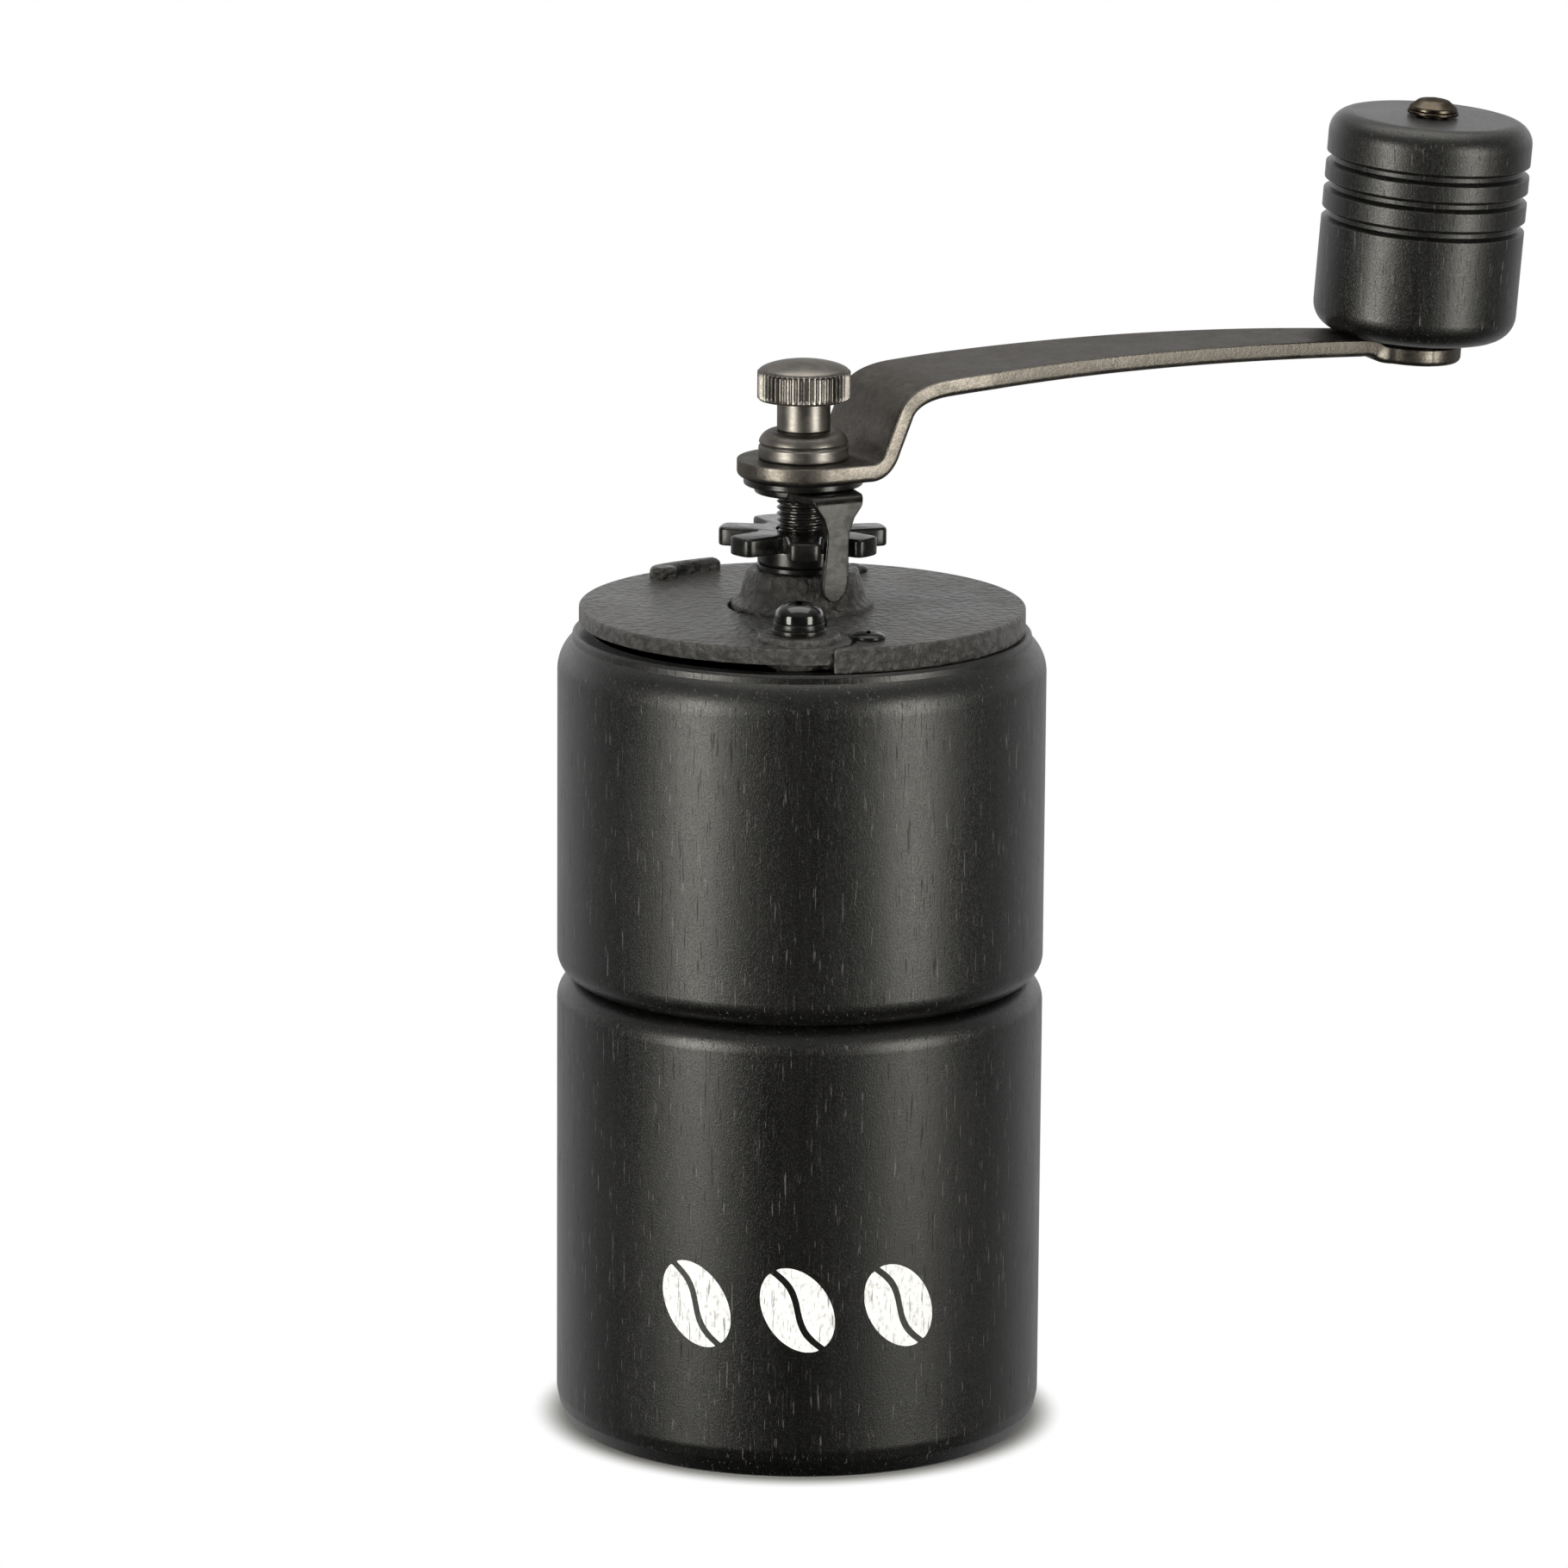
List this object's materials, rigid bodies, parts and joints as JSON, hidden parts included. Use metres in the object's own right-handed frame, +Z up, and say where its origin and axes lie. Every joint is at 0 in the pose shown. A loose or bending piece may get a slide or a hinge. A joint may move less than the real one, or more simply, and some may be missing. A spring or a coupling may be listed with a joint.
{
  "type": "hand crank coffee grinder",
  "caption": "Cylindrical wooden hand coffee grinder with a cast top plate, swinging hopper lid, adjusting star and bent crank with a turned knob.",
  "frame": {"origin": "centre of the grounds cup's flat base, on the surface that the grinder stands on", "axes": "+Z up along the shaft; at rest the crank arm points 28 degrees from +X towards +Y, and the hopper lid is on the -X side"},
  "size_m": [0.1618, 0.1113, 0.2135],
  "materials": {
    "stained_wood": "black stain with open pores and a thin satin lacquer",
    "cast_iron": "rough sand casting, painted satin black, worn lighter on edges",
    "black_nickel": "dark plated steel with a brownish cast",
    "dark_nickel": "turned and plated, satin",
    "black_steel": "semi-gloss black",
    "clip_steel": "dark phosphated spring steel",
    "bronze_steel": "dark bronze-brown rivet",
    "plain_steel": "plain machined steel"
  },
  "bodies": {
    "cup": {"grounds_cup": "stained_wood"},
    "mill": {"upper_body": "stained_wood", "hopper_frame": "cast_iron", "frame_screw_1": "plain_steel", "frame_screw_2": "plain_steel", "frame_screw_3": "plain_steel", "burr_screw_1": "plain_steel", "burr_screw_2": "plain_steel", "burr_screw_3": "plain_steel", "ring_burr": "plain_steel", "top_plate": "cast_iron", "plate_screw_1": "black_steel", "plate_screw_2": "black_steel", "lid_washer": "black_steel", "lid_spring_washer": "black_steel", "lid_screw": "black_steel", "thrust_washer": "black_steel"},
    "lid": {"hopper_lid": "cast_iron"},
    "rotor": {"adjusting_star": "black_steel"},
    "spindle": {"shaft": "plain_steel", "cone_burr": "plain_steel", "burr_washer": "plain_steel", "burr_nut": "plain_steel", "burr_spring": "plain_steel"},
    "crank": {"lock_clip": "clip_steel", "arm_washer": "dark_nickel", "crank_arm": "black_nickel", "knob_washer_bottom": "bronze_steel", "knob_washer_top": "bronze_steel", "knob_pin": "bronze_steel"},
    "grip": {"knob": "stained_wood"},
    "cap": {"domed_washer": "dark_nickel"},
    "nut": {"thumb_nut": "dark_nickel"}
  },
  "joints": [
    {"name": "cup_release", "type": "slide", "parent": "cup", "child": "mill", "axis": [0, 0, 1], "range_m": [0, 0.035]},
    {"name": "lid_swing", "type": "hinge", "parent": "mill", "child": "lid", "pos_m": [-0.0005, -0.029, 0.1355], "axis": [0, 0, 1], "range_deg": [0, 78]},
    {"name": "crank_turn", "type": "hinge", "parent": "mill", "child": "rotor", "pos_m": [0, 0, 0.147], "axis": [0, 0, 1], "continuous": true},
    {"name": "grind_setting", "type": "slide", "parent": "rotor", "child": "spindle", "axis": [0, 0, 1], "range_m": [0, 0.0008], "deforming": ["burr_spring"]},
    {"name": "crank_lift", "type": "slide", "parent": "spindle", "child": "crank", "axis": [0, 0, 1], "range_m": [0, 0.022]},
    {"name": "knob_spin", "type": "hinge", "parent": "crank", "child": "grip", "pos_m": [0.10242, 0.05446, 0.1721], "axis": [0.0671, -0.0334, 0.9972], "continuous": true},
    {"name": "cap_lift", "type": "slide", "parent": "crank", "child": "cap", "axis": [0, 0, 1], "range_m": [0, 0.00625]},
    {"name": "nut_turn", "type": "hinge", "parent": "cap", "child": "nut", "pos_m": [0, 0, 0.172], "axis": [0, 0, 1], "range_deg": [0, 1800]}
  ],
  "couplings": [
    {"joint": "cap_lift", "follows": "nut_turn", "m_per_rad": 0.00019894}
  ]
}
